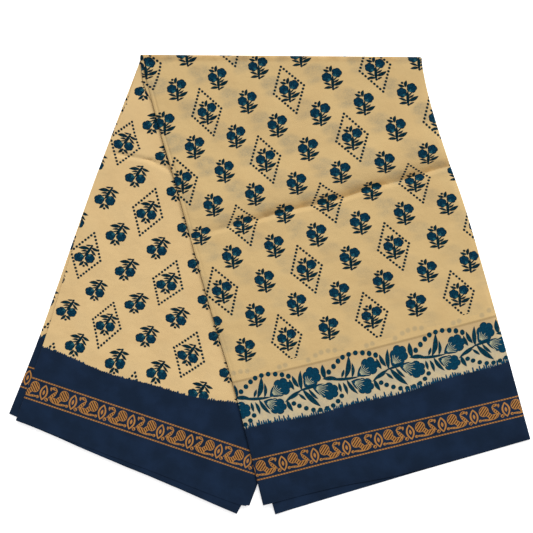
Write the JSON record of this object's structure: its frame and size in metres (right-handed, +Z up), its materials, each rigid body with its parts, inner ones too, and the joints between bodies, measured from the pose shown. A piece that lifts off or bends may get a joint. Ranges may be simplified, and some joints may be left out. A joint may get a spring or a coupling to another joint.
{
  "type": "folded cotton saree",
  "caption": "Cotton saree folded lengthwise into a many-ply strip and then over itself across a slanted crease, lying flat as two spread leaves.",
  "frame": {"origin": "on the surface that the saree lies on, under the middle of the folded bundle", "axes": "+Z up through the plies, +X to the right along the crease, +Y towards the crease"},
  "size_m": [0.706, 0.6219, 0.0132],
  "materials": {
    "front_cloth": "printed plain-weave cotton, matt, beige with navy motifs and a navy border",
    "under_cloth": "the same cotton on the side that lies on the table",
    "back_cloth": "the same cotton, on the back leaf",
    "inner_plies": "the same cotton seen edge on, in layers"
  },
  "bodies": {
    "root": {"front_face": "front_cloth", "under_face": "under_cloth", "back_face": "back_cloth", "hidden_plies": "inner_plies"}
  },
  "joints": []
}
